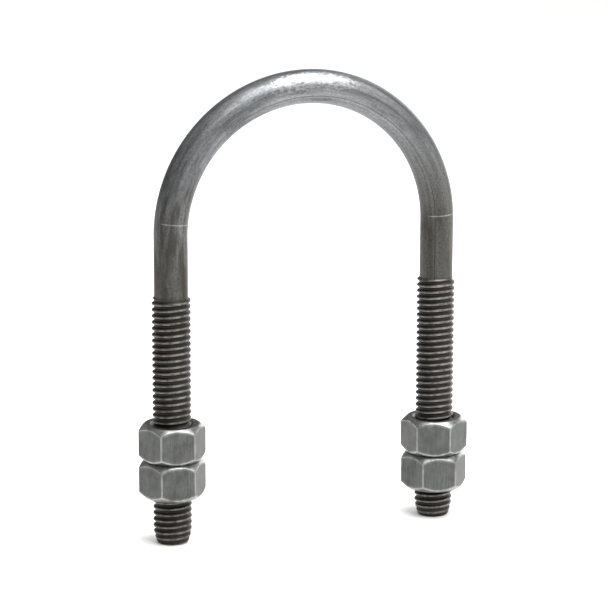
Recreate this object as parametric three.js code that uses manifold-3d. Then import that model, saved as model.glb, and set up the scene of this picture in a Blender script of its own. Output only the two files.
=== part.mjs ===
// U-bolt for clamping a round pipe to a flat bar or plate, with two hex nuts jammed together on each leg.
// Millimetres, +Z up. The bolt stands on its two leg ends with the bend on top: the legs run along Z, the
// pipe that it holds runs along Y, and the origin lies midway between the legs at the level of their ends.

import * as THREE from 'three'
import { mergeVertices } from 'three/addons/utils/BufferGeometryUtils.js'
import Module from 'manifold-3d'

const wasm = await Module()
wasm.setup()

// ---------------------------------------------------------------- driving dimensions

const threadDiameter = 9.525 // 3/8 inch
const threadPitch = 1.5875 // 16 threads to the inch, right-handed
const threadLength = 63.5 // measured up from the end of each leg
const legSpacing = 71.4375 // between the centres of the legs
const bendCentreHeight = 78.4 // from the leg ends to the centre of the half-round bend
const endChamferHeight = 1.6 // of the taper that leads the nuts on to each leg

const nutAcrossFlats = 15
const nutHeight = 9.25
const nutChamferAngle = THREE.MathUtils.degToRad(42)
const nutFaceShare = 0.93 // diameter of the flat bearing face, as a share of the width across flats
const countersinkWidth = 0.45 // of the cone at each mouth of the nut

const nutClearance = 0.3 // between the bore of a nut and the crest of the thread
const jamGap = 0.35 // between the two nuts of a leg

// Each leg: where its thread starts above the leg end, how far it stands out below the lower nut, and how
// many degrees each nut is turned from having a flat to the front.
const legs = [
  { side: 'left', place: -1, threadStart: 0.59, standOut: 12.05, upperTurn: -6.5, lowerTurn: -5.9 },
  { side: 'right', place: 1, threadStart: 0.13, standOut: 7.5, upperTurn: -23.4, lowerTurn: -11.5 },
]

// ---------------------------------------------------------------- sizes that follow from them

const threadRadius = threadDiameter / 2
// A rolled thread starts from bar of the pitch diameter, so the plain shank is thinner than the crests.
const shankRadius = (threadDiameter - 0.6495 * threadPitch) / 2
const threadDepth = 0.6134 * threadPitch
const rootRadius = threadRadius - threadDepth
const bendRadius = legSpacing / 2

// ---------------------------------------------------------------- fineness of the facets

const facetsPerTurn = 12
const bendSteps = 40
const boreFacets = 24
const chamferFacets = 48

// ---------------------------------------------------------------- solids

const weldDistance = 1e-4
const overlap = 0.3 // how far pieces that are joined reach into each other

// A closed geometry with its shared vertices merged, as a solid that can be joined and cut.
function solid(geometry) {
  const bare = geometry.index ? geometry.toNonIndexed() : geometry.clone()
  bare.deleteAttribute('normal')
  bare.deleteAttribute('uv')
  const merged = mergeVertices(bare, weldDistance)
  const index = merged.index.array
  const triVerts = []
  for (let i = 0; i < index.length; i += 3) {
    const [a, b, c] = index.slice(i, i + 3)
    if (a !== b && b !== c && c !== a) triVerts.push(a, b, c)
  }
  return new wasm.Manifold(new wasm.Mesh({
    numProp: 3,
    vertProperties: merged.attributes.position.array,
    triVerts: new Uint32Array(triVerts),
  }))
}

function geometryOf(shape) {
  const mesh = shape.getMesh()
  const geometry = new THREE.BufferGeometry()
  geometry.setAttribute('position', new THREE.BufferAttribute(new Float32Array(mesh.vertProperties), 3))
  geometry.setIndex(new THREE.BufferAttribute(new Uint32Array(mesh.triVerts), 1))
  geometry.computeVertexNormals()
  return geometry
}

// A turned solid on the Z axis. The profile is a list of [radius, height], from the axis to the axis, going up.
function turned(profile, facets) {
  const points = profile.map(([radius, height]) => new THREE.Vector2(radius, height))
  return new THREE.LatheGeometry(points, facets).rotateX(Math.PI / 2)
}

// ---------------------------------------------------------------- bent rod

// Up the left shank, round the half circle of the bend and down the right shank, in the plane of X and Z.
class BoltCentreline extends THREE.Curve {
  constructor(radius, shankLength) {
    super()
    this.radius = radius
    this.shankLength = shankLength
    this.bendLength = Math.PI * radius
  }

  getPoint(t, target = new THREE.Vector3()) {
    const travelled = t * (2 * this.shankLength + this.bendLength)
    const fromBend = travelled - this.shankLength
    const pastBend = fromBend - this.bendLength
    if (fromBend < 0) return target.set(-this.radius, 0, bendCentreHeight + fromBend)
    if (pastBend > 0) return target.set(this.radius, 0, bendCentreHeight - pastBend)
    const angle = Math.PI - fromBend / this.radius
    return target.set(
      this.radius * Math.cos(angle), 0, bendCentreHeight + this.radius * Math.sin(angle))
  }
}

// The inner edge of a thread ridge: a right-hand helix on the Z axis that sinks inwards over its last turns,
// where the thread runs out into the shank.
class RidgeHelix extends THREE.Curve {
  constructor(radius, startHeight, turns, runOutTurns, runOutDepth) {
    super()
    Object.assign(this, { radius, startHeight, turns, runOutTurns, runOutDepth })
  }

  getPoint(t, target = new THREE.Vector3()) {
    const turn = t * this.turns
    const runOut = Math.max(0, 1 - (this.turns - turn) / this.runOutTurns)
    const radius = this.radius - runOut * this.runOutDepth
    const angle = turn * 2 * Math.PI
    return target.set(
      radius * Math.cos(angle), radius * Math.sin(angle), this.startHeight + turn * threadPitch)
  }

  // Equal steps are equal turns, so that every ring of the ridge lies on a facet edge of the core.
  getPointAt(u, target) {
    return this.getPoint(u, target)
  }

  // The section of the ridge stays in a plane through the axis: its X points outwards, its Y downwards.
  computeFrenetFrames(segments) {
    const frames = { tangents: [], normals: [], binormals: [] }
    for (let i = 0; i <= segments; i++) {
      const angle = (i / segments) * this.turns * 2 * Math.PI
      frames.tangents.push(new THREE.Vector3(-Math.sin(angle), Math.cos(angle), 0))
      frames.normals.push(new THREE.Vector3(Math.cos(angle), Math.sin(angle), 0))
      frames.binormals.push(new THREE.Vector3(0, 0, -1))
    }
    return frames
  }
}

// The section of the ridge is a 60 degree form with a flat crest an eighth of the pitch wide.
function ridgeSection() {
  const crestHalf = threadPitch / 16
  const footHalf = crestHalf + threadDepth * Math.tan(Math.PI / 6)
  return new THREE.Shape([
    new THREE.Vector2(0, -footHalf),
    new THREE.Vector2(overlap, -footHalf),
    new THREE.Vector2(overlap + threadDepth, -crestHalf),
    new THREE.Vector2(overlap + threadDepth, crestHalf),
    new THREE.Vector2(overlap, footHalf),
    new THREE.Vector2(0, footHalf),
  ])
}

// One threaded leg on the Z axis, from its chamfered end up to just inside the shank.
function threadedLeg(threadStart) {
  const runOutTurns = 1.5
  const startHeight = threadStart - 2 * threadPitch
  const turns = Math.round(((threadLength - startHeight) / threadPitch) * facetsPerTurn) / facetsPerTurn
  const shankMatch = 0.02 // keeps the walls of the joined pieces apart
  const neckRadius = shankRadius - shankMatch
  const neckHeight = shankRadius - rootRadius

  const core = solid(turned([
    [0, 0],
    [rootRadius, 0],
    [rootRadius, threadLength - neckHeight],
    [neckRadius, threadLength],
    [neckRadius, threadLength + overlap],
    [0, threadLength + overlap],
  ], facetsPerTurn))

  const helix = new RidgeHelix(
    rootRadius - overlap, startHeight, turns, runOutTurns, threadRadius - neckRadius + shankMatch)
  const ridge = solid(new THREE.ExtrudeGeometry(ridgeSection(), {
    extrudePath: helix,
    steps: turns * facetsPerTurn,
  }))

  // The end is cut flat, with a chamfer from just inside the thread root out to the crest.
  const endRadius = rootRadius - shankMatch
  const outside = threadRadius + overlap
  const envelope = solid(turned([
    [0, 0],
    [endRadius, 0],
    [threadRadius, endChamferHeight],
    [outside, endChamferHeight + overlap],
    [outside, threadLength + threadPitch],
    [0, threadLength + threadPitch],
  ], facetsPerTurn))
  return core.add(ridge).intersect(envelope)
}

function bentRod() {
  const circle = new THREE.Shape().absarc(0, 0, shankRadius, 0, 2 * Math.PI)
  const shankLength = bendCentreHeight - threadLength
  let rod = solid(new THREE.ExtrudeGeometry(circle, {
    extrudePath: new BoltCentreline(bendRadius, shankLength),
    steps: bendSteps,
    curveSegments: facetsPerTurn / 2,
  }))
  for (const leg of legs) {
    rod = rod.add(threadedLeg(leg.threadStart).translate([leg.place * bendRadius, 0, 0]))
  }
  return geometryOf(rod)
}

// ---------------------------------------------------------------- nuts

// A double-chamfered hexagon about the Z axis, standing on z = 0, with a flat towards -Y.
function hexNut() {
  const cornerRadius = nutAcrossFlats / 2 / Math.cos(Math.PI / 6)
  const faceRadius = (nutFaceShare * nutAcrossFlats) / 2
  const reach = cornerRadius + overlap
  const chamferHeight = (reach - faceRadius) * Math.tan(nutChamferAngle)
  const hexagon = new THREE.CylinderGeometry(cornerRadius, cornerRadius, nutHeight, 6)
    .rotateY(Math.PI / 6)
    .rotateX(Math.PI / 2)
    .translate(0, 0, nutHeight / 2)
  const blank = solid(turned([
    [0, 0],
    [faceRadius, 0],
    [reach, chamferHeight],
    [reach, nutHeight - chamferHeight],
    [faceRadius, nutHeight],
    [0, nutHeight],
  ], chamferFacets))

  const boreRadius = (threadRadius + nutClearance) / Math.cos(Math.PI / boreFacets)
  const mouthRadius = boreRadius + countersinkWidth
  const bore = solid(turned([
    [0, -overlap],
    [mouthRadius + overlap, -overlap],
    [boreRadius, countersinkWidth],
    [boreRadius, nutHeight - countersinkWidth],
    [mouthRadius + overlap, nutHeight + overlap],
    [0, nutHeight + overlap],
  ], boreFacets))
  return geometryOf(solid(hexagon).intersect(blank).subtract(bore))
}

// ---------------------------------------------------------------- assembly

const rodSteel = new THREE.MeshStandardMaterial({ color: 0x6a6864, metalness: 1, roughness: 0.45 })
const nutSteel = new THREE.MeshStandardMaterial({ color: 0x8c8d8b, metalness: 1, roughness: 0.5 })

const uBolt = new THREE.Group()

const rod = new THREE.Mesh(bentRod(), rodSteel)
rod.name = 'bent_rod'
uBolt.add(rod)

const nutGeometry = hexNut()
for (const leg of legs) {
  const axis = new THREE.Group()
  axis.position.x = leg.place * bendRadius
  const nuts = [
    { level: 'lower', height: leg.standOut, turn: leg.lowerTurn },
    { level: 'upper', height: leg.standOut + nutHeight + jamGap, turn: leg.upperTurn },
  ]
  for (const { level, height, turn } of nuts) {
    const nut = new THREE.Mesh(nutGeometry, nutSteel)
    nut.name = `${level}_nut_${leg.side}`
    nut.position.z = height
    nut.rotation.z = THREE.MathUtils.degToRad(turn)
    axis.add(nut)
  }
  uBolt.add(axis)
}

export default uBolt
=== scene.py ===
"""U-bolt in uncoated steel with two hexagon nuts jammed together on each threaded leg.

Metres, +Z up. The bolt stands on its leg ends with the bend on top, and the pipe that it holds runs
along Y.
"""

import math

import bpy
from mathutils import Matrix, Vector


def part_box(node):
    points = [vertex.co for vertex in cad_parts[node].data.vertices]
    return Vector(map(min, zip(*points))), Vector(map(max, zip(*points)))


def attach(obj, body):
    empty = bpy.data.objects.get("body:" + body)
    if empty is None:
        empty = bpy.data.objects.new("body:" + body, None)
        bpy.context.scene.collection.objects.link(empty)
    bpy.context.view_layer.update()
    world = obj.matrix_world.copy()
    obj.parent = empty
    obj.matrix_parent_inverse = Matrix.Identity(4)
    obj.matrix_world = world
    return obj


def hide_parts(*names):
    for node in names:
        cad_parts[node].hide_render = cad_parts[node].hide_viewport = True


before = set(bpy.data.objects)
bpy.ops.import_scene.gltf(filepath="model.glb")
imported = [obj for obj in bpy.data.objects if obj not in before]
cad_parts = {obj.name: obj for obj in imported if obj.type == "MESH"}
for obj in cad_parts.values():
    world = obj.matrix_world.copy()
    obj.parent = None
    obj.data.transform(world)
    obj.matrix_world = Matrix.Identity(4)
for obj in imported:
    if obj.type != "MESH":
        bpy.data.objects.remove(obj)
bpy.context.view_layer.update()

bl_info = {
    "name": "U-bolt",
    "version": (1, 0, 0),
    "blender": (4, 5, 0),
    "location": "View3D > Sidebar > U-bolt",
    "description": "Builds a threaded U-bolt, its four hexagon nuts, its steel finishes and a plain studio",
    "category": "Add Mesh",
}

MM = 0.001
RIGHT_NUT_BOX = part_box("upper_nut_right")
BEND_RADIUS = (RIGHT_NUT_BOX[0][0] + RIGHT_NUT_BOX[1][0]) / 2

ROD_MIDDLE = 0.0784 + BEND_RADIUS * math.pi / 2  # half the length of the rod
SCRIBED = (0.0819, 2 * ROD_MIDDLE - 0.0798)  # distances along the rod

CAMERA_PLACE = (-0.2374, -0.6264, 0.2081)
CAMERA_TARGET = (-0.0020, -0.0040, 0.0597)
CAMERA_ROLL = math.radians(0.19)
CAMERA_LENS = 160.8  # millimetres, on a sensor 36 mm wide
LIGHT_TARGET = (0, 0, 0.06)
FLOOR_REACH = 4.0
# Name, place, width and depth, power, and whether the steel mirrors it, for each softbox.
LIGHTS = (
    ("key softbox", (0.14, -0.20, 0.66), (0.60, 0.68), 8.5, True),
    ("right softbox", (0.5, 0.4, 0.16), (0.4, 0.3), 1.2, True),
    ("side softbox", (0.62, -0.30, 0.14), (0.4, 0.3), 1.1, True),
    ("floor wash", (0.0, 1.4, 2.4), (4.0, 4.0), 78.0, False),
)
WORLD_STRENGTH = 0.43

THREAD_DEPTH = 0.39  # of the pitch, from the crest to the root
RUN_OUT = 0.9 * MM  # over which the thread fades into the shank
TIP_CURVE = 0.62  # power that rounds the taper of each leg end; 1 would be a plain cone
TIP_SPARE = 0.15 * MM  # by which the taper passes the crests at its far end
TIP_BLEND = 0.3 * MM  # over which the thread rises out of the taper
TIP_ROUND = 0.5 * MM  # of the edge of each flat end
TIP_CAP = 1.2 * MM  # of the rod past each end that is drawn in to close the flat

JAM_CLOSE = 0.15 * MM  # each nut of a jammed pair reaches this far into the gap between them
THREAD_PLAY = 0.1 * MM  # between the crests of the rod and the roots of the inner thread
TAP_REACH = 1 * MM  # of the tap past each face of its nut
PIT_RADIUS = 3.6 * MM  # how far in the countersink of a blank goes on; the tap cuts it away
MOUTH_ROUND, SHOULDER_ROUND, EDGE_ROUND = 0.12 * MM, 0.17 * MM, 0.2 * MM
# Share of the painted edge highlight and rubbed wear on the upright corners.
CORNER_WEAR_AND_HIGHLIGHT = 0.62
GRAIN_LIFT = 50 * MM  # between the grain of one nut and the next

ROWS_PER_TURN = 12
SHANK_TURNS = 24
ROD_SEGMENTS = 64
TAP_SEGMENTS = 64
SIDE_COLUMNS = (-1, -0.96, -0.88, -0.7, -0.45, -0.2, 0, 0.2, 0.45, 0.7, 0.88, 0.96, 1)
CORNER_STEPS = 6
NUT_NAMES = ("upper_nut_left", "lower_nut_left", "upper_nut_right", "lower_nut_right")


# ---------------------------------------------------------------- helpers

def linear(hex_colour):
    """An sRGB hex value as a linear colour."""
    channels = [int(hex_colour[i:i + 2], 16) / 255 for i in (0, 2, 4)]
    return tuple(c / 12.92 if c <= 0.04045 else ((c + 0.055) / 1.055) ** 2.4 for c in channels)


def add(tree, kind, inputs=(), **settings):
    """Add a node with its settings. An input is a value, a socket, or a node whose first output feeds it."""
    node = tree.nodes.new(kind)
    for name, value in settings.items():
        setattr(node, name, value)
    for key, value in inputs.items() if isinstance(inputs, dict) else enumerate(inputs):
        if isinstance(value, bpy.types.Node):
            value = value.outputs[0]
        if isinstance(value, bpy.types.NodeSocket):
            tree.links.new(value, node.inputs[key])
        else:
            node.inputs[key].default_value = value
    return node


def new_tree(name, inputs, outputs):
    """Start a Geometry Nodes tree with named sockets; gives the tree and its input sockets by name."""
    tree = bpy.data.node_groups.new(name, "GeometryNodeTree")
    for in_out, sockets in (("INPUT", inputs), ("OUTPUT", outputs)):
        for socket_name, kind in sockets:
            tree.interface.new_socket(socket_name, in_out=in_out, socket_type="NodeSocket" + kind)
    start = tree.nodes.new("NodeGroupInput")
    return tree, {socket.name: socket for socket in start.outputs if socket.name}


def realised(tree, values, name):
    """Run a tree on an empty mesh with the given inputs and return the result as a plain mesh."""
    carrier = bpy.data.objects.new(name, bpy.data.meshes.new(name))
    bpy.context.scene.collection.objects.link(carrier)
    modifier = carrier.modifiers.new(tree.name, "NODES")
    modifier.node_group = tree
    for item in tree.interface.items_tree:
        if item.in_out == "INPUT":
            modifier[item.identifier] = values[item.name]
    depsgraph = bpy.context.evaluated_depsgraph_get()
    mesh = bpy.data.meshes.new_from_object(
        carrier.evaluated_get(depsgraph), preserve_all_data_layers=True, depsgraph=depsgraph)
    bpy.data.objects.remove(carrier)
    mesh.name = name
    return mesh


def placed(mesh, name):
    piece = bpy.data.objects.new(name, mesh)
    bpy.context.scene.collection.objects.link(piece)
    return piece


# ---------------------------------------------------------------- sizes and colours

class RodSizes(bpy.types.PropertyGroup):
    thread_diameter: bpy.props.FloatProperty(
        name="Thread diameter", description="Across the crests of the thread",
        default=9.75 * MM, unit="LENGTH", precision=4)
    thread_pitch: bpy.props.FloatProperty(
        name="Pitch", description="From one crest to the next",
        default=1.5875 * MM, unit="LENGTH", precision=4)
    thread_length: bpy.props.FloatProperty(
        name="Thread length", description="Up each leg from its end", default=63.5 * MM, unit="LENGTH")
    bend_radius: bpy.props.FloatProperty(
        name="Bend radius", description="To the middle of the rod", default=BEND_RADIUS, unit="LENGTH")
    bend_centre_height: bpy.props.FloatProperty(
        name="Bend centre height", description="Above the leg ends", default=78.4 * MM, unit="LENGTH")
    shank_diameter: bpy.props.FloatProperty(
        name="Shank diameter", description="Of the plain rod", default=8.47 * MM, unit="LENGTH", precision=4)
    tip_radius: bpy.props.FloatProperty(
        name="Tip radius", description="Of the flat at each leg end",
        default=3.7 * MM, unit="LENGTH", precision=4)
    tip_taper: bpy.props.FloatProperty(
        name="Tip taper", description="Length over which the thread reaches its full diameter",
        default=4.4 * MM, unit="LENGTH", precision=4)
    left_start: bpy.props.FloatProperty(
        name="Left thread start", description="Height of the first crest of the left leg",
        default=0.59 * MM, unit="LENGTH", precision=5)
    right_start: bpy.props.FloatProperty(
        name="Right thread start", description="Height of the first crest of the right leg",
        default=0.13 * MM, unit="LENGTH", precision=5)


class NutSizes(bpy.types.PropertyGroup):
    across_flats: bpy.props.FloatProperty(
        name="Across flats", description="The spanner size", default=14.98 * MM, unit="LENGTH", precision=4)
    chamfer_angle: bpy.props.FloatProperty(
        name="Chamfer angle", description="Of the corners, from the bearing face",
        default=math.radians(42), subtype="ANGLE")
    face_share: bpy.props.FloatProperty(
        name="Face share", description="Diameter of the bearing face as a share of the width across flats",
        default=0.93)
    corner_round: bpy.props.FloatProperty(
        name="Corner round", description="Radius of the six upright corners",
        default=0.3 * MM, unit="LENGTH", precision=4)
    mouth_radius: bpy.props.FloatProperty(
        name="Mouth radius", description="Of the countersink at each face",
        default=5.6 * MM, unit="LENGTH", precision=4)
    bore_radius: bpy.props.FloatProperty(
        name="Bore radius", description="Between the tips of the inner thread",
        default=4.2 * MM, unit="LENGTH", precision=4)
    upper_nut_left: bpy.props.FloatProperty(
        name="Upper left turn", description="From having a flat to the front",
        default=math.radians(-6.5), subtype="ANGLE")
    lower_nut_left: bpy.props.FloatProperty(
        name="Lower left turn", description="From having a flat to the front",
        default=math.radians(-5.9), subtype="ANGLE")
    upper_nut_right: bpy.props.FloatProperty(
        name="Upper right turn", description="From having a flat to the front",
        default=math.radians(-23.4), subtype="ANGLE")
    lower_nut_right: bpy.props.FloatProperty(
        name="Lower right turn", description="From having a flat to the front",
        default=math.radians(-11.5), subtype="ANGLE")


class Finish(bpy.types.PropertyGroup):
    rod_colour: bpy.props.FloatVectorProperty(
        name="Rod", description="Drawn surface of the rod", default=linear("52514d"), subtype="COLOR")
    # Bend: lighter than the rod, partly painted highlight from the light above, partly the tone left by the
    # bending tools.
    bend_colour: bpy.props.FloatVectorProperty(
        name="Bend", description="Where the bending tools slid along the rod", default=linear("7d7f81"),
        subtype="COLOR")
    scale_colour: bpy.props.FloatVectorProperty(
        name="Mill scale", description="Dark patches left on the rod", default=linear("3b3732"),
        subtype="COLOR")
    # Burnish: painted highlight on the upper front of the crown, along with the rubbing of the roller.
    burnish_and_highlight_colour: bpy.props.FloatVectorProperty(
        name="Burnish", description="Where the bending roller rubbed the rod", default=linear("b4b5b6"),
        subtype="COLOR")
    # Thread groove: colour of the die lines, also used to darken the thread roots and the nut bore.
    groove_colour: bpy.props.FloatVectorProperty(
        name="Thread groove", description="Oily dirt in the thread roots", default=linear("332e2a"),
        subtype="COLOR")
    nut_colour: bpy.props.FloatVectorProperty(
        name="Nut", description="Flats and faces of the nuts", default=linear("5a5b5a"), subtype="COLOR")
    # Rubbed edge: light colour of the scribed marks; on the thread crests and nut edges it is painted
    # highlight with rubbed wear.
    edge_colour: bpy.props.FloatVectorProperty(
        name="Rubbed edge", description="Bright metal on worn edges", default=linear("a8a9a7"),
        subtype="COLOR")
    floor_colour: bpy.props.FloatVectorProperty(
        name="Floor", description="Matt white board", default=linear("f4f4f3"), subtype="COLOR")


# ---------------------------------------------------------------- shapes that follow a rule

def thread_form_tree():
    """Radius of a rounded thread at a distance along its axis and a share of a turn round it.

    The edges of the crest and of the root are shares of the pitch from the middle of the crest. Depth is 1
    at the crest and 0 in the root.
    """
    tree, given = new_tree(
        "Thread form",
        [("Distance", "Float"), ("Turn", "Float"), ("Start", "Float"), ("Pitch", "Float"),
         ("Crest radius", "Float"), ("Root radius", "Float"), ("Crest edge", "Float"),
         ("Root edge", "Float")],
        [("Radius", "Float"), ("Depth", "Float")])
    from_start = add(tree, "ShaderNodeMath", (given["Distance"], given["Start"]), operation="SUBTRACT")
    pitches = add(tree, "ShaderNodeMath", (from_start, given["Pitch"]), operation="DIVIDE")
    phase = add(tree, "ShaderNodeMath", (pitches, given["Turn"]), operation="SUBTRACT")
    from_crest = add(tree, "ShaderNodeMath", (phase, 0.5), operation="PINGPONG")
    depth = add(tree, "ShaderNodeMapRange", (from_crest, given["Crest edge"], given["Root edge"], 1.0, 0.0),
                interpolation_type="SMOOTHSTEP")
    radius = add(
        tree, "ShaderNodeMapRange", (depth, 0.0, 1.0, given["Root radius"], given["Crest radius"]))
    add(tree, "NodeGroupOutput", (radius, depth))
    return tree


def spiral_grid(tree, given):
    """A grid whose rows climb like a screw: one column per step round the axis, its seam a whole turn apart.

    Gives the grid, the share of a turn of each point and its turns from the first row.
    """
    columns = add(tree, "ShaderNodeMath", (given["Segments"], 1.0), operation="ADD")
    rows = add(tree, "ShaderNodeMath", (given["Rows"], 1.0), operation="ADD")
    grid = add(tree, "GeometryNodeMeshGrid", {
        "Size X": 1.0, "Size Y": 1.0, "Vertices X": columns, "Vertices Y": rows})
    place = add(tree, "ShaderNodeSeparateXYZ", (add(tree, "GeometryNodeInputPosition"),))
    share = add(tree, "ShaderNodeMath", (place.outputs["X"], 0.5), operation="ADD")
    up = add(tree, "ShaderNodeMath", (place.outputs["Y"], 0.5), operation="ADD")
    row = add(tree, "ShaderNodeMath", (
        add(tree, "ShaderNodeMath", (up, given["Rows"]), operation="MULTIPLY"),), operation="ROUND")
    turns = add(tree, "ShaderNodeMath", (row, given["Rows per turn"]), operation="DIVIDE")
    turns = add(tree, "ShaderNodeMath", (turns, share), operation="ADD")
    return grid, share, turns


def finish_tree(tree, given, grid, position, stored):
    """Place the grid's points, keep the values that the finish reads, close the seam and end the tree."""
    geometry = grid.outputs["Mesh"]
    for name, kind, value in stored:
        geometry = add(tree, "GeometryNodeStoreNamedAttribute", {
            "Geometry": geometry, "Name": name, "Value": value},
            data_type=kind, domain="POINT").outputs[0]
    moved = add(tree, "GeometryNodeSetPosition", {"Geometry": geometry, "Position": position})
    closed = add(tree, "GeometryNodeMergeByDistance", {"Geometry": moved, "Distance": 0.002 * MM})
    smooth = add(tree, "GeometryNodeSetShadeSmooth", {"Geometry": closed})
    realise = add(tree, "GeometryNodeRealizeInstances", {"Geometry": smooth})
    finished = add(tree, "GeometryNodeSetMaterial", {"Geometry": realise, "Material": given["Material"]})
    add(tree, "NodeGroupOutput", (finished,))


def rod_tree(thread_form):
    """The whole bent rod as one spiral grid that follows the path of the bolt from leg end to leg end."""
    tree, given = new_tree(
        "Threaded and bent rod",
        [("Segments", "Int"), ("Rows", "Int"), ("Rows per turn", "Int"), ("First distance", "Float"),
         ("Left turns", "Float"), ("Shank turns", "Float"), ("Shank start", "Float"), ("Shank end", "Float"),
         ("Right turns", "Float"), ("Total length", "Float"), ("Bend radius", "Float"),
         ("Bend centre height", "Float"), ("Pitch", "Float"), ("Thread length", "Float"),
         ("Run-out", "Float"), ("Crest radius", "Float"), ("Root radius", "Float"), ("Shank radius", "Float"),
         ("Left start", "Float"), ("Right start", "Float"), ("Tip radius", "Float"), ("Tip taper", "Float"),
         ("Tip cap", "Float"), ("Material", "Material")],
        [("Geometry", "Geometry")])
    grid, share, turns = spiral_grid(tree, given)

    # Fine turns on the legs and coarse turns on the plain rod between them.
    shank_from = given["Left turns"]
    right_from = add(tree, "ShaderNodeMath", (shank_from, given["Shank turns"]), operation="ADD")
    right_to = add(tree, "ShaderNodeMath", (right_from, given["Right turns"]), operation="ADD")
    last = add(tree, "ShaderNodeMath", (given["Right turns"], given["Pitch"]), operation="MULTIPLY")
    left = add(tree, "ShaderNodeMapRange", (
        turns, 0.0, shank_from, given["First distance"], given["Shank start"]))
    middle_length = add(tree, "ShaderNodeMath", (given["Shank end"], given["Shank start"]),
                        operation="SUBTRACT")
    middle = add(tree, "ShaderNodeMapRange", (turns, shank_from, right_from, 0.0, middle_length))
    right = add(tree, "ShaderNodeMapRange", (turns, right_from, right_to, 0.0, last))
    distance = add(tree, "ShaderNodeMath", (
        add(tree, "ShaderNodeMath", (left, middle), operation="ADD"), right), operation="ADD")
    from_right = add(tree, "ShaderNodeMath", (given["Total length"], distance), operation="SUBTRACT")
    from_end = add(tree, "ShaderNodeMath", (distance, from_right), operation="MINIMUM")

    # The thread of each leg, fading into the plain shank over its run-out.
    on_right = add(tree, "ShaderNodeMath", (distance, from_right), operation="GREATER_THAN")
    start_pick = add(tree, "ShaderNodeMapRange", (on_right, 0.0, 1.0, given["Left start"],
                                                  given["Right start"]))
    form = add(tree, "GeometryNodeGroup", {
        "Distance": distance, "Turn": share, "Start": start_pick, "Pitch": given["Pitch"],
        "Crest radius": given["Crest radius"], "Root radius": given["Root radius"],
        "Crest edge": 1 / 16, "Root edge": 5 / 12}, node_tree=thread_form)
    fade_from = add(tree, "ShaderNodeMath", (given["Thread length"], given["Run-out"]),
                    operation="SUBTRACT")
    threaded = add(tree, "ShaderNodeMapRange", (from_end, fade_from, given["Thread length"], 1.0, 0.0),
                   interpolation_type="SMOOTHSTEP")
    body = add(tree, "ShaderNodeMapRange", (threaded, 0.0, 1.0, given["Shank radius"],
                                            form.outputs["Radius"]))

    # The leg ends: a flat that closes on the axis, then a rounded taper that the thread rises out of.
    cap_from = add(tree, "ShaderNodeMath", (given["Tip cap"], -1.0), operation="MULTIPLY")
    flat = add(tree, "ShaderNodeMapRange", (from_end, cap_from, 0.0, 0.0, given["Tip radius"]))
    rise = add(tree, "ShaderNodeMath", (
        add(tree, "ShaderNodeMapRange", (from_end, 0.0, given["Tip taper"], 0.0, 1.0)), TIP_CURVE),
        operation="POWER")
    gain = add(tree, "ShaderNodeMath", (given["Crest radius"], given["Tip radius"]), operation="SUBTRACT")
    gain = add(tree, "ShaderNodeMath", (gain, TIP_SPARE), operation="ADD")
    envelope = add(tree, "ShaderNodeMath", (rise, gain, flat), operation="MULTIPLY_ADD")
    radius = add(tree, "ShaderNodeMath", (body, envelope, TIP_BLEND), operation="SMOOTH_MIN")
    height = add(tree, "ShaderNodeMath", (from_end, 0.0, TIP_ROUND), operation="SMOOTH_MAX")

    # Round the path: up the left leg, over the bend and down the right leg.
    angle = add(tree, "ShaderNodeMath", (share, 2 * math.pi), operation="MULTIPLY")
    outward = add(tree, "ShaderNodeMath", (
        add(tree, "ShaderNodeMath", (angle,), operation="COSINE"), radius), operation="MULTIPLY")
    forward = add(tree, "ShaderNodeMath", (
        add(tree, "ShaderNodeMath", (angle,), operation="SINE"), radius), operation="MULTIPLY")
    bend_length = add(tree, "ShaderNodeMath", (given["Bend radius"], math.pi), operation="MULTIPLY")
    bend_end = add(tree, "ShaderNodeMath", (given["Bend centre height"], bend_length), operation="ADD")
    bend = add(tree, "ShaderNodeMapRange", (
        distance, given["Bend centre height"], bend_end, 0.0, math.pi))
    reach = add(tree, "ShaderNodeMath", (given["Bend radius"], outward), operation="ADD")
    along = add(tree, "ShaderNodeMath", (
        add(tree, "ShaderNodeMath", (bend,), operation="COSINE"), reach), operation="MULTIPLY")
    above = add(tree, "ShaderNodeMath", (
        add(tree, "ShaderNodeMath", (bend,), operation="SINE"), reach), operation="MULTIPLY")
    leg_height = add(tree, "ShaderNodeMath", (height, given["Bend centre height"]), operation="MINIMUM")
    position = add(tree, "ShaderNodeCombineXYZ", (
        add(tree, "ShaderNodeMath", (along, -1.0), operation="MULTIPLY"),
        add(tree, "ShaderNodeMath", (forward, -1.0), operation="MULTIPLY"),
        add(tree, "ShaderNodeMath", (leg_height, above), operation="ADD")))

    # The same point on the rod before it was bent, for streaks that run along it.
    straight = add(tree, "ShaderNodeCombineXYZ", (outward, forward, distance))
    finish_tree(tree, given, grid, position, (
        ("straight_rod", "FLOAT_VECTOR", straight), ("threaded", "FLOAT", threaded),
        ("thread_depth", "FLOAT", form.outputs["Depth"])))
    return tree


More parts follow.
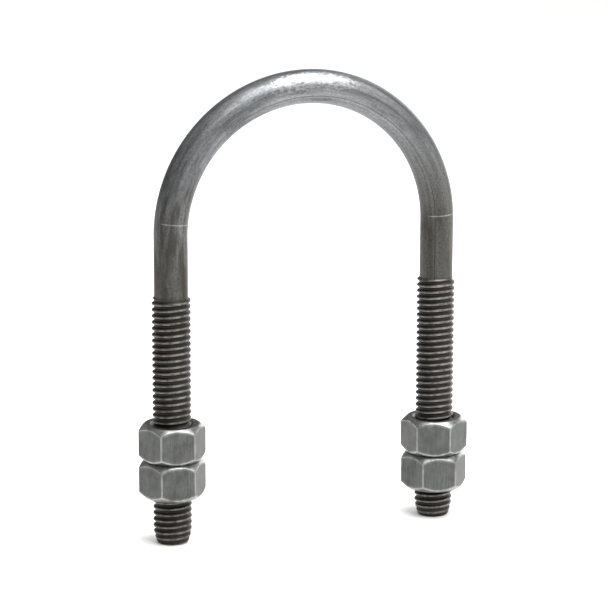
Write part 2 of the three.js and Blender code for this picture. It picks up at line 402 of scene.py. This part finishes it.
def tap_tree(thread_form):
    """A straight screw on the Z axis, closed at both ends, that cuts the inner thread of a nut."""
    tree, given = new_tree(
        "Tap",
        [("Segments", "Int"), ("Rows", "Int"), ("Rows per turn", "Int"), ("First height", "Float"),
         ("Low end", "Float"), ("High end", "Float"), ("Pitch", "Float"), ("Start", "Float"),
         ("Crest radius", "Float"), ("Root radius", "Float"), ("Leg place", "Float"),
         ("Material", "Material")],
        [("Geometry", "Geometry")])
    grid, share, turns = spiral_grid(tree, given)
    height = add(tree, "ShaderNodeMath", (turns, given["Pitch"], given["First height"]),
                 operation="MULTIPLY_ADD")
    form = add(tree, "GeometryNodeGroup", {
        "Distance": height, "Turn": share, "Start": given["Start"], "Pitch": given["Pitch"],
        "Crest radius": given["Crest radius"], "Root radius": given["Root radius"],
        "Crest edge": 1 / 12, "Root edge": 3 / 8}, node_tree=thread_form)
    inside = add(tree, "ShaderNodeMath", (
        add(tree, "ShaderNodeMath", (height, given["Low end"]), operation="GREATER_THAN"),
        add(tree, "ShaderNodeMath", (height, given["High end"]), operation="LESS_THAN")),
        operation="MULTIPLY")
    radius = add(tree, "ShaderNodeMath", (inside, form.outputs["Radius"]), operation="MULTIPLY")
    level = add(tree, "ShaderNodeClamp", (height, given["Low end"], given["High end"]))
    angle = add(tree, "ShaderNodeMath", (share, 2 * math.pi), operation="MULTIPLY")
    across = add(tree, "ShaderNodeMath", (
        add(tree, "ShaderNodeMath", (angle,), operation="COSINE"), radius, given["Leg place"]),
        operation="MULTIPLY_ADD")
    back = add(tree, "ShaderNodeMath", (
        add(tree, "ShaderNodeMath", (angle,), operation="SINE"), radius), operation="MULTIPLY")
    position = add(tree, "ShaderNodeCombineXYZ", (across, back, level))
    finish_tree(tree, given, grid, position, ())
    return tree


def rod_mesh(sizes, material):
    pitch = sizes.thread_pitch
    crest_radius = sizes.thread_diameter / 2
    total = 2 * sizes.bend_centre_height + math.pi * sizes.bend_radius
    row = pitch / ROWS_PER_TURN
    clear = TIP_CAP + pitch + 0.1 * MM  # the first and last rows lie wholly past the ends
    # A crest of the left thread is half a turn out, because its angles start at the outer side of the leg.
    left_start = sizes.left_start + pitch / 2
    right_start = total - sizes.right_start
    first = left_start + row / 2 - math.ceil((left_start + row / 2 + clear) / row) * row
    left_turns = math.ceil((sizes.thread_length + 1 * MM - first) / row) / ROWS_PER_TURN
    shank_start = first + left_turns * pitch
    shank_end = total - sizes.thread_length - 1 * MM
    # Rows of the right thread also fall half a row from its crests.
    past_row = (shank_end - right_start - row / 2 - (left_turns + SHANK_TURNS) * pitch) % row
    shank_end -= past_row
    right_turns = math.ceil((total + clear - shank_end) / row) / ROWS_PER_TURN
    rows = round((left_turns + SHANK_TURNS + right_turns) * ROWS_PER_TURN)
    return realised(rod_tree(thread_form_tree()), {
        "Segments": ROD_SEGMENTS, "Rows": rows, "Rows per turn": ROWS_PER_TURN, "First distance": first,
        "Left turns": left_turns, "Shank turns": float(SHANK_TURNS), "Shank start": shank_start,
        "Shank end": shank_end, "Right turns": right_turns + 2, "Total length": total,
        "Bend radius": sizes.bend_radius, "Bend centre height": sizes.bend_centre_height, "Pitch": pitch,
        "Thread length": sizes.thread_length, "Run-out": RUN_OUT, "Crest radius": crest_radius,
        "Root radius": crest_radius - THREAD_DEPTH * pitch, "Shank radius": sizes.shank_diameter / 2,
        "Left start": left_start, "Right start": right_start, "Tip radius": sizes.tip_radius,
        "Tip taper": sizes.tip_taper, "Tip cap": TIP_CAP, "Material": material}, "bent_threaded_rod")


# ---------------------------------------------------------------- nuts

def rounded_edge(before, edge, after, size):
    """Points of a small round between two straight lines of a profile that meet at edge."""
    start = edge + (before - edge).normalized() * size
    end = edge + (after - edge).normalized() * size
    return [start.lerp(edge, t).lerp(edge.lerp(end, t), t) for t in (0, 0.25, 0.5, 0.75, 1)]


def hexagon_columns(across_flats, corner_round):
    """Angle and radius of each upright line of a hexagon with rounded corners, and whether it is on a corner.

    The first side is centred on angle 0.
    """
    apothem = across_flats / 2
    side = (apothem - corner_round) * math.tan(math.pi / 6)
    centre = Vector((apothem - corner_round, side))
    flat_end = math.atan(side / apothem)
    columns = []
    for k in range(6):
        for share in SIDE_COLUMNS:
            angle = flat_end * share
            columns.append((k * math.pi / 3 + angle, apothem / math.cos(angle), float(abs(share) == 1)))
        for i in range(1, CORNER_STEPS):
            angle = flat_end + (math.pi / 3 - 2 * flat_end) * i / CORNER_STEPS
            mirrored = min(angle, math.pi / 3 - angle)
            ray = Vector((math.cos(mirrored), math.sin(mirrored)))
            along = centre.dot(ray)
            radius = along + math.sqrt(along ** 2 - centre.length_squared + corner_round ** 2)
            columns.append((k * math.pi / 3 + angle, radius, 1.0))
    return columns


def nut_profile(sizes, half_height, radius):
    """Points of radius and height from the upper countersink over the chamfer to the middle of one side.

    Each point carries how far its edge is lightened, as painted highlight with rubbed wear: 1 on an edge and
    0 elsewhere.
    """
    face_radius = sizes.face_share * sizes.across_flats / 2
    slope = math.tan(sizes.chamfer_angle)
    pit_floor = Vector((PIT_RADIUS, half_height - (sizes.mouth_radius - PIT_RADIUS)))
    mouth = Vector((sizes.mouth_radius, half_height))
    shoulder = Vector((face_radius, half_height))
    edge = Vector((radius, half_height - (radius - face_radius) * slope))
    middle = Vector((radius, 0))
    support = 0.3 * MM
    points = [(pit_floor, 0)]
    points += [(p, 0.2) for p in rounded_edge(pit_floor, mouth, shoulder, MOUTH_ROUND)]
    points += [(mouth + Vector((support, 0)), 0), (shoulder - Vector((0.5 * MM, 0)), 0)]
    points += [(p, 0.6) for p in rounded_edge(mouth, shoulder, edge, SHOULDER_ROUND)]
    points += [(p, 1) for p in rounded_edge(shoulder, edge, middle, EDGE_ROUND)]
    points += [(edge - Vector((0, support)), 0.25), (edge - Vector((0, 2.5 * support)), 0), (middle, 0)]
    return points


def nut_blank(sizes, height):
    """A closed, chamfered and countersunk hexagon on the Z axis about its own middle, without its bore."""
    columns = hexagon_columns(sizes.across_flats, sizes.corner_round)
    vertices, wear_and_highlight, faces = [], [], []
    for angle, radius, corner in columns:
        upper = nut_profile(sizes, height / 2, radius)
        lower = [(Vector((p.x, -p.y)), w) for p, w in reversed(upper[:-1])]
        # Each point's lightening of the edges, painted highlight with rubbed wear, with the corners given
        # their share.
        for point, wear_and_shine in upper + lower:
            vertices.append((point.x * math.cos(angle), point.x * math.sin(angle), point.y))
            on_side = point.x > sizes.across_flats * 0.48 or radius == point.x
            wear_and_highlight.append(max(wear_and_shine, CORNER_WEAR_AND_HIGHLIGHT * corner * on_side))
    rows = len(vertices) // len(columns)
    for c in range(len(columns)):
        here, there = c * rows, (c + 1) % len(columns) * rows
        for r in range(rows - 1):
            faces.append((here + r, here + r + 1, there + r + 1, there + r))
    for row, order in ((0, 1), (rows - 1, -1)):
        vertices.append((0, 0, vertices[row][2]))
        wear_and_highlight.append(0)
        for c in range(len(columns)):
            here, there = c * rows + row, (c + 1) % len(columns) * rows + row
            faces.append((len(vertices) - 1, here, there)[::order])
    mesh = bpy.data.meshes.new("nut_blank")
    mesh.from_pydata(vertices, [], faces)
    mesh.attributes.new("edge_wear_and_highlight", "FLOAT", "POINT").data.foreach_set("value", wear_and_highlight)
    return mesh


def tap_mesh(tree, rod, sizes, leg_place, start, low, high, material):
    """The screw that cuts the inner thread, in step with the thread of the leg."""
    row = rod.thread_pitch / ROWS_PER_TURN
    low_end, high_end = low - TAP_REACH, high + TAP_REACH
    first = start + row / 2
    first -= math.ceil((first - low_end + rod.thread_pitch + 0.1 * MM) / row) * row
    rows = math.ceil((high_end + 0.1 * MM - first) / row)
    return realised(tree, {
        "Segments": TAP_SEGMENTS, "Rows": rows, "Rows per turn": ROWS_PER_TURN, "First height": first,
        "Low end": low_end, "High end": high_end, "Pitch": rod.thread_pitch, "Start": start,
        "Crest radius": rod.thread_diameter / 2 + THREAD_PLAY, "Root radius": sizes.bore_radius,
        "Leg place": leg_place, "Material": material}, "tap")


def nut_mesh(node, tree, rod, sizes, material):
    """One threaded nut where its CAD node is, with the values that its finish reads."""
    low, high = (list(corner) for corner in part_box(node))
    if node.startswith("upper"):
        low[2] -= JAM_CLOSE
    else:
        high[2] += JAM_CLOSE
    leg_place = math.copysign(rod.bend_radius, low[0])
    start = rod.left_start if node.endswith("left") else rod.right_start
    turn = getattr(sizes, node) - math.pi / 2
    middle = Vector((leg_place, 0, (low[2] + high[2]) / 2))
    mesh = nut_blank(sizes, high[2] - low[2])
    for vertex in mesh.vertices:
        x, y, z = vertex.co
        vertex.co = middle + Vector((
            x * math.cos(turn) - y * math.sin(turn), x * math.sin(turn) + y * math.cos(turn), z))
    blank = placed(mesh, node + "_blank")
    screw = tap_mesh(tree, rod, sizes, leg_place, start, low[2], high[2], material)
    tap = placed(screw, node + "_tap")
    mesh.materials.append(material)
    cut = blank.modifiers.new("Tapped", "BOOLEAN")
    cut.operation, cut.solver, cut.object = "DIFFERENCE", "MANIFOLD", tap
    depsgraph = bpy.context.evaluated_depsgraph_get()
    nut = bpy.data.meshes.new_from_object(
        blank.evaluated_get(depsgraph), preserve_all_data_layers=True, depsgraph=depsgraph)
    bpy.data.objects.remove(blank)
    bpy.data.objects.remove(tap)
    nut.shade_smooth()
    nut.set_sharp_from_angle(angle=math.radians(40))

    # Places measured from the nut's own middle, each nut's grain lifted by a length of its own.
    lift = GRAIN_LIFT * NUT_NAMES.index(node)
    own, bore = [], []
    for vertex in nut.vertices:
        x, y, z = vertex.co - middle
        own += (x * math.cos(turn) + y * math.sin(turn), y * math.cos(turn) - x * math.sin(turn), z + lift)
        bore.append(min(1, max(0, (sizes.mouth_radius - 0.1 * MM - math.hypot(x, y)) / (0.3 * MM))))
    nut.attributes.new("nut_space", "FLOAT_VECTOR", "POINT").data.foreach_set("vector", own)
    nut.attributes.new("in_bore", "FLOAT", "POINT").data.foreach_set("value", bore)
    nut.name = node + "_threaded"
    return nut


# ---------------------------------------------------------------- finishes

def new_material(name):
    material = bpy.data.materials.new(name)
    material.use_nodes = True
    material.node_tree.nodes.clear()
    return material, material.node_tree


def colour(value):
    return (*value, 1.0)


def cold_drawn_steel(finish):
    """Cold drawn mild steel rod, bent and thread rolled, left uncoated under a film of oil.

    The eye gets a mid grey with streaks along the rod from the drawing die, brownish patches of leftover
    scale, a lighter bend and a ragged bright band on the crown that are painted highlight along with rubbing
    by the bending tools, darker thread roots, and crests lightened as painted highlight with rubbed wear.
    light rubbed crests.
    """
    material, tree = new_material("Cold drawn mild steel")
    straight = add(tree, "ShaderNodeAttribute", attribute_name="straight_rod").outputs["Vector"]
    depth = add(tree, "ShaderNodeAttribute", attribute_name="thread_depth").outputs["Fac"]
    threaded = add(tree, "ShaderNodeAttribute", attribute_name="threaded").outputs["Fac"]
    part = add(tree, "ShaderNodeSeparateXYZ", (straight,))
    across, front, along = part.outputs

    # Die streaks are about 0.3 mm wide and 20 mm long; bands of tone are 2 mm wide and 30 mm long.
    streak = add(tree, "ShaderNodeTexNoise", {
        "Vector": add(tree, "ShaderNodeMapping", {"Vector": straight, "Scale": (3300, 3300, 50)}),
        "Scale": 1.0, "Detail": 3.0, "Roughness": 0.6})
    band = add(tree, "ShaderNodeTexNoise", {
        "Vector": add(tree, "ShaderNodeMapping", {"Vector": straight, "Scale": (500, 500, 33)}),
        "Scale": 1.0, "Detail": 2.0, "Roughness": 0.5})
    # Patches of scale are about 3 mm wide and 16 mm long; specks of grit are 0.4 mm across.
    patch = add(tree, "ShaderNodeTexNoise", {
        "Vector": add(tree, "ShaderNodeMapping", {"Vector": straight, "Scale": (300, 300, 60)}),
        "Scale": 1.0, "Detail": 5.0, "Roughness": 0.65})
    speck = add(tree, "ShaderNodeTexNoise", {
        "Vector": add(tree, "ShaderNodeMapping", {"Vector": straight, "Scale": (2600, 2600, 1700)}),
        "Scale": 1.0, "Detail": 2.0, "Roughness": 0.7})

    tone = add(tree, "ShaderNodeMapRange", (streak, 0.3, 0.7, 0.8, 1.18))
    tone = add(tree, "ShaderNodeMath", (
        tone, add(tree, "ShaderNodeMapRange", (band, 0.3, 0.7, 0.8, 1.2))), operation="MULTIPLY")
    tone = add(tree, "ShaderNodeMath", (
        tone, add(tree, "ShaderNodeMapRange", (speck, 0.3, 0.7, 0.72, 1.28))), operation="MULTIPLY")
    # The right leg kept a little more of its dark film than the left.
    tone = add(tree, "ShaderNodeMath", (
        tone, add(tree, "ShaderNodeMapRange", (along, 0.1, 0.22, 1.0, 0.9))), operation="MULTIPLY")
    # The bend is lighter than the shanks, most of all 8 mm to the left of the crown: painted highlight from
    # the light above, along with the tone where the bending tools slid along it.
    from_lightest = add(tree, "ShaderNodeMath", (along, ROD_MIDDLE - 8 * MM), operation="SUBTRACT")
    from_lightest = add(tree, "ShaderNodeMath", (from_lightest,), operation="ABSOLUTE")
    hue = add(tree, "ShaderNodeMapRange", (from_lightest, 0.024, 0.07, 0.0, 1.0),
              interpolation_type="SMOOTHSTEP")
    base = add(tree, "ShaderNodeMix", {0: hue, 6: colour(finish.bend_colour), 7: colour(finish.rod_colour)},
               data_type="RGBA")
    base = add(tree, "ShaderNodeVectorMath", {0: base.outputs[2], "Scale": tone}, operation="SCALE")

    # Scale is thickest between the left leg and the crown.
    left = add(tree, "ShaderNodeMapRange", (along, 0.06, 0.2, 0.07, -0.12))
    scaled = add(tree, "ShaderNodeMath", (patch, left), operation="ADD")
    scaled = add(tree, "ShaderNodeMapRange", (scaled, 0.45, 0.66, 0.0, 0.75))
    base = add(tree, "ShaderNodeMix", {0: scaled, 6: base, 7: colour(finish.scale_colour)}, data_type="RGBA")

    # Painted highlight on the upper front of the crown, which the roller also rubbed, over about 40 mm of the
    # rod.
    middle = add(tree, "ShaderNodeMath", (along, ROD_MIDDLE), operation="SUBTRACT")
    middle = add(tree, "ShaderNodeMath", (middle,), operation="ABSOLUTE")
    near_crown = add(tree, "ShaderNodeMapRange", (middle, 0.004, 0.026, 1.0, 0.0),
                     interpolation_type="SMOOTHSTEP")
    facing = add(tree, "ShaderNodeMath", (across, 0.6, front), operation="MULTIPLY_ADD")
    facing = add(tree, "ShaderNodeMapRange", (facing, 0.002, 0.0048, 0.0, 1.0))
    crown_rub_and_highlight = add(tree, "ShaderNodeMath", (near_crown, facing), operation="MULTIPLY")
    ragged = add(tree, "ShaderNodeTexNoise", {
        "Vector": add(tree, "ShaderNodeMapping", {"Vector": straight, "Scale": (1700, 1700, 1000)}),
        "Scale": 1.0, "Detail": 6.0, "Roughness": 0.72})
    crown_rub_and_highlight = add(tree, "ShaderNodeMath", (crown_rub_and_highlight, ragged), operation="MULTIPLY")
    crown_rub_and_highlight = add(tree, "ShaderNodeMapRange", (crown_rub_and_highlight, 0.36, 0.56, 0.0, 0.9))
    base = add(tree, "ShaderNodeMix", {0: crown_rub_and_highlight, 6: base.outputs[2], 7: colour(finish.burnish_and_highlight_colour)},
               data_type="RGBA")

    # Two die lines follow the whole rod, 28 and 42 degrees from its front towards the inside of the bend.
    lines = None
    for degrees, width, strength in ((28.5, 0.16 * MM, 0.62), (42, 0.1 * MM, 0.35)):
        turn = math.radians(90 + degrees)
        beside = add(tree, "ShaderNodeMath", (across, math.sin(turn)), operation="MULTIPLY")
        beside = add(tree, "ShaderNodeMath", (front, -math.cos(turn), beside), operation="MULTIPLY_ADD")
        beside = add(tree, "ShaderNodeMath", (beside,), operation="ABSOLUTE")
        line = add(tree, "ShaderNodeMapRange", (beside, width * 0.4, width, strength, 0.0))
        line = add(tree, "ShaderNodeMath", (
            line, add(tree, "ShaderNodeMath", (front, 0.0), operation="GREATER_THAN")), operation="MULTIPLY")
        line = add(tree, "ShaderNodeMath", (
            line, add(tree, "ShaderNodeMapRange", (band, 0.35, 0.55, 0.35, 1.0))), operation="MULTIPLY")
        lines = add(tree, "ShaderNodeMath", (lines, line), operation="MAXIMUM") if lines else line
    plain = add(tree, "ShaderNodeMath", (1.0, threaded), operation="SUBTRACT")
    lines = add(tree, "ShaderNodeMath", (lines, plain), operation="MULTIPLY")
    base = add(tree, "ShaderNodeMix", {0: lines, 6: base.outputs[2], 7: colour(finish.groove_colour)},
               data_type="RGBA")

    # A scriber marked the front of each leg where the bend starts.
    scribed = None
    for place in SCRIBED:
        off = add(tree, "ShaderNodeMath", (along, place), operation="SUBTRACT")
        off = add(tree, "ShaderNodeMath", (off,), operation="ABSOLUTE")
        mark = add(tree, "ShaderNodeMapRange", (off, 0.07 * MM, 0.18 * MM, 0.6, 0.0))
        scribed = add(tree, "ShaderNodeMath", (scribed, mark), operation="MAXIMUM") if scribed else mark
    scribed = add(tree, "ShaderNodeMath", (
        scribed, add(tree, "ShaderNodeMapRange", (front, 2.0 * MM, 3.2 * MM, 0.0, 1.0))),
        operation="MULTIPLY")
    scribed = add(tree, "ShaderNodeMath", (
        scribed, add(tree, "ShaderNodeMapRange", (streak, 0.35, 0.55, 0.35, 1.0))), operation="MULTIPLY")
    base = add(tree, "ShaderNodeMix", {0: scribed, 6: base.outputs[2], 7: colour(finish.edge_colour)},
               data_type="RGBA")

    # The thread roots are darker, and the crests are lightened in broken lengths as painted highlight with
    # rubbed wear.
    wear_and_shine = add(tree, "ShaderNodeTexNoise", {
        "Vector": add(tree, "ShaderNodeMapping", {"Vector": straight, "Scale": (700, 700, 900)}),
        "Scale": 1.0, "Detail": 4.0, "Roughness": 0.6})
    crest = add(tree, "ShaderNodeMapRange", (depth, 0.72, 1.0, 0.0, 1.0))
    crest = add(tree, "ShaderNodeMath", (
        crest, add(tree, "ShaderNodeMapRange", (wear_and_shine, 0.36, 0.62, 0.05, 0.46))), operation="MULTIPLY")
    root_darkening = add(tree, "ShaderNodeMapRange", (depth, 0.2, 0.9, 0.94, 0.14))
    on_thread = add(tree, "ShaderNodeMix", {0: root_darkening, 6: base.outputs[2], 7: colour(finish.groove_colour)},
                    data_type="RGBA")
    on_thread = add(tree, "ShaderNodeMix", {
        0: crest, 6: on_thread.outputs[2], 7: colour(finish.edge_colour)}, data_type="RGBA")
    base = add(tree, "ShaderNodeMix", {0: threaded, 6: base.outputs[2], 7: on_thread.outputs[2]},
               data_type="RGBA")

    roughness = add(tree, "ShaderNodeMapRange", (streak, 0.3, 0.7, 0.4, 0.54))
    roughness = add(tree, "ShaderNodeMath", (scaled, 0.16, roughness), operation="MULTIPLY_ADD")
    roughness = add(tree, "ShaderNodeMath", (crown_rub_and_highlight, -0.1, roughness), operation="MULTIPLY_ADD")
    relief = add(tree, "ShaderNodeMath", (streak, speck), operation="ADD")
    relief = add(tree, "ShaderNodeMath", (crown_rub_and_highlight, 0.6, relief), operation="MULTIPLY_ADD")
    bump = add(tree, "ShaderNodeBump", {"Height": relief, "Distance": 0.02 * MM, "Strength": 0.8})
    shader = add(tree, "ShaderNodeBsdfPrincipled", {
        "Base Color": base.outputs[2], "Metallic": 1.0, "Roughness": roughness, "Normal": bump})
    add(tree, "ShaderNodeOutputMaterial", (shader,))
    return material


def cold_formed_steel(finish):
    """Cold formed and tapped nut steel, tumbled and left uncoated.

    The eye gets a satin grey with an upright grain on the flats from the forming die, faint turned rings on
    the bearing faces, edges lightened as painted highlight with rubbed wear, and a darker bore.
    """
    material, tree = new_material("Cold formed nut steel")
    own = add(tree, "ShaderNodeAttribute", attribute_name="nut_space").outputs["Vector"]
    wear_and_highlight = add(tree, "ShaderNodeAttribute", attribute_name="edge_wear_and_highlight").outputs["Fac"]
    bore = add(tree, "ShaderNodeAttribute", attribute_name="in_bore").outputs["Fac"]

    # The grain is about 0.35 mm wide and 5 mm long; stains are 3 mm across; grit is 0.25 mm.
    grain = add(tree, "ShaderNodeTexNoise", {
        "Vector": add(tree, "ShaderNodeMapping", {"Vector": own, "Scale": (2800, 2800, 200)}),
        "Scale": 1.0, "Detail": 4.0, "Roughness": 0.6})
    stain = add(tree, "ShaderNodeTexNoise", {
        "Vector": add(tree, "ShaderNodeMapping", {"Vector": own, "Scale": (330, 330, 260)}),
        "Scale": 1.0, "Detail": 4.0, "Roughness": 0.62})
    grit = add(tree, "ShaderNodeTexNoise", {"Vector": own, "Scale": 4000.0, "Detail": 2.0, "Roughness": 0.7})
    flat_place = add(tree, "ShaderNodeVectorMath", (own, (1, 1, 0)), operation="MULTIPLY")
    from_axis = add(tree, "ShaderNodeVectorMath", (flat_place,), operation="LENGTH").outputs["Value"]
    rings = add(tree, "ShaderNodeTexNoise", {"W": from_axis, "Scale": 3500.0, "Detail": 2.0},
                noise_dimensions="1D")
    normal = add(tree, "ShaderNodeSeparateXYZ", (add(tree, "ShaderNodeNewGeometry").outputs["Normal"],))
    level = add(tree, "ShaderNodeMath", (normal.outputs["Z"],), operation="ABSOLUTE")
    level = add(tree, "ShaderNodeMapRange", (level, 0.4, 0.7, 0.0, 1.0))
    marks = add(tree, "ShaderNodeMix", {0: level, 2: grain, 3: rings})

    tone = add(tree, "ShaderNodeMapRange", (marks, 0.3, 0.7, 0.78, 1.2))
    tone = add(tree, "ShaderNodeMath", (
        tone, add(tree, "ShaderNodeMapRange", (stain, 0.3, 0.7, 0.72, 1.22))), operation="MULTIPLY")
    tone = add(tree, "ShaderNodeMath", (
        tone, add(tree, "ShaderNodeMapRange", (grit, 0.3, 0.7, 0.88, 1.12))), operation="MULTIPLY")
    base = add(tree, "ShaderNodeVectorMath", {0: finish.nut_colour, "Scale": tone}, operation="SCALE")
    # Edges are lightened towards the rubbed edge colour: painted highlight along with rubbed wear.
    edge_rub_and_highlight = add(tree, "ShaderNodeMath", (
        wear_and_highlight, add(tree, "ShaderNodeMapRange", (stain, 0.32, 0.56, 0.15, 0.75))), operation="MULTIPLY")
    base = add(tree, "ShaderNodeMix", {0: edge_rub_and_highlight, 6: base, 7: colour(finish.edge_colour)}, data_type="RGBA")
    # The countersink and bore are darker, towards the groove colour.
    bore_darkening = add(tree, "ShaderNodeMath", (bore, 0.85), operation="MULTIPLY")
    base = add(tree, "ShaderNodeMix", {0: bore_darkening, 6: base.outputs[2], 7: colour(finish.groove_colour)},
               data_type="RGBA")

    roughness = add(tree, "ShaderNodeMapRange", (marks, 0.3, 0.7, 0.38, 0.52))
    roughness = add(tree, "ShaderNodeMath", (edge_rub_and_highlight, -0.12, roughness), operation="MULTIPLY_ADD")
    relief = add(tree, "ShaderNodeMath", (grit, 0.7, marks), operation="MULTIPLY_ADD")
    bump = add(tree, "ShaderNodeBump", {"Height": relief, "Distance": 0.02 * MM, "Strength": 0.8})
    shader = add(tree, "ShaderNodeBsdfPrincipled", {
        "Base Color": base.outputs[2], "Metallic": 1.0, "Roughness": roughness, "Normal": bump})
    add(tree, "ShaderNodeOutputMaterial", (shader,))
    return material


def matt_board(finish):
    """Matt white coated board: an even white with a faint mottle."""
    material, tree = new_material("Matt white board")
    place = add(tree, "ShaderNodeTexCoord").outputs["Object"]
    mottle = add(tree, "ShaderNodeTexNoise", {"Vector": place, "Scale": 900.0, "Detail": 3.0})
    tone = add(tree, "ShaderNodeMapRange", (mottle, 0.3, 0.7, 0.985, 1.0))
    base = add(tree, "ShaderNodeVectorMath", {0: finish.floor_colour, "Scale": tone}, operation="SCALE")
    shader = add(tree, "ShaderNodeBsdfPrincipled", {"Base Color": base, "Roughness": 0.9})
    add(tree, "ShaderNodeOutputMaterial", (shader,))
    return material


# ---------------------------------------------------------------- operators

class UBOLT_OT_rod(bpy.types.Operator):
    """Make the bent rod with the rolled thread of both legs"""
    bl_idname = "ubolt.rod"
    bl_label = "Bent rod"

    def execute(self, context):
        steel = cold_drawn_steel(context.scene.ubolt_finish)
        rod = placed(rod_mesh(context.scene.ubolt_rod, steel), "threaded_rod")
        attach(rod, "bolt")
        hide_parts("bent_rod")
        return {"FINISHED"}


class UBOLT_OT_nuts(bpy.types.Operator):
    """Make the four tapped hexagon nuts, two on each leg"""
    bl_idname = "ubolt.nuts"
    bl_label = "Hexagon nuts"

    def execute(self, context):
        steel = cold_formed_steel(context.scene.ubolt_finish)
        tree = tap_tree(thread_form_tree())
        for node in NUT_NAMES:
            mesh = nut_mesh(node, tree, context.scene.ubolt_rod, context.scene.ubolt_nuts, steel)
            nut = placed(mesh, "tapped_" + node)
            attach(nut, node)
            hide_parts(node)
        return {"FINISHED"}


class UBOLT_OT_stage(bpy.types.Operator):
    """Make the pale floor, the soft lights and the camera"""
    bl_idname = "ubolt.stage"
    bl_label = "Floor, lights and camera"

    def execute(self, context):
        scene = context.scene
        mesh = bpy.data.meshes.new("floor")
        corners = [(x * FLOOR_REACH, y * FLOOR_REACH, 0) for x, y in ((-1, -1), (1, -1), (1, 1), (-1, 1))]
        mesh.from_pydata(corners, [], [(0, 1, 2, 3)])
        mesh.materials.append(matt_board(scene.ubolt_finish))
        placed(mesh, "floor")

        for name, place, size, watts, mirrored in LIGHTS:
            light = bpy.data.lights.new(name, "AREA")
            light.shape, light.size, light.size_y, light.energy = "RECTANGLE", *size, watts
            holder = bpy.data.objects.new(name, light)
            holder.location = place
            holder.visible_glossy = mirrored
            holder.rotation_euler = (
                Vector(LIGHT_TARGET) - holder.location).to_track_quat("-Z", "Y").to_euler()
            scene.collection.objects.link(holder)

        world = bpy.data.worlds.new("Pale room")
        world.use_nodes = True
        world.node_tree.nodes["Background"].inputs["Color"].default_value = colour(linear("f2f2f2"))
        world.node_tree.nodes["Background"].inputs["Strength"].default_value = WORLD_STRENGTH
        scene.world = world
        scene.view_settings.view_transform = "Standard"

        lens = bpy.data.cameras.new("camera")
        lens.sensor_width, lens.lens, lens.clip_end = 36, CAMERA_LENS, 10
        camera = bpy.data.objects.new("camera", lens)
        camera.location = CAMERA_PLACE
        aim = Vector(CAMERA_TARGET) - camera.location
        camera.rotation_euler = aim.to_track_quat("-Z", "Y").to_euler()
        camera.rotation_euler.rotate_axis("Z", CAMERA_ROLL)
        scene.collection.objects.link(camera)
        scene.camera = camera
        return {"FINISHED"}


class UBOLT_PT_panel(bpy.types.Panel):
    """Sizes, colours and build steps of the U-bolt"""
    bl_idname = "UBOLT_PT_panel"
    bl_label = "U-bolt"
    bl_space_type = "VIEW_3D"
    bl_region_type = "UI"
    bl_category = "U-bolt"

    def draw(self, context):
        for group in (context.scene.ubolt_rod, context.scene.ubolt_nuts, context.scene.ubolt_finish):
            for name in group.bl_rna.properties.keys():
                if name not in {"rna_type", "name"}:
                    self.layout.prop(group, name)
        for operator in OPERATORS:
            self.layout.operator(operator.bl_idname)


OPERATORS = (UBOLT_OT_rod, UBOLT_OT_nuts, UBOLT_OT_stage)
GROUPS = {"ubolt_rod": RodSizes, "ubolt_nuts": NutSizes, "ubolt_finish": Finish}


def register():
    for cls in (*GROUPS.values(), *OPERATORS, UBOLT_PT_panel):
        bpy.utils.register_class(cls)
    for name, group in GROUPS.items():
        setattr(bpy.types.Scene, name, bpy.props.PointerProperty(type=group))


def unregister():
    for name in GROUPS:
        delattr(bpy.types.Scene, name)
    for cls in reversed((*GROUPS.values(), *OPERATORS, UBOLT_PT_panel)):
        bpy.utils.unregister_class(cls)


def main():
    register()
    bpy.ops.ubolt.rod()
    bpy.ops.ubolt.nuts()
    bpy.ops.ubolt.stage()


if __name__ == "__main__":
    main()
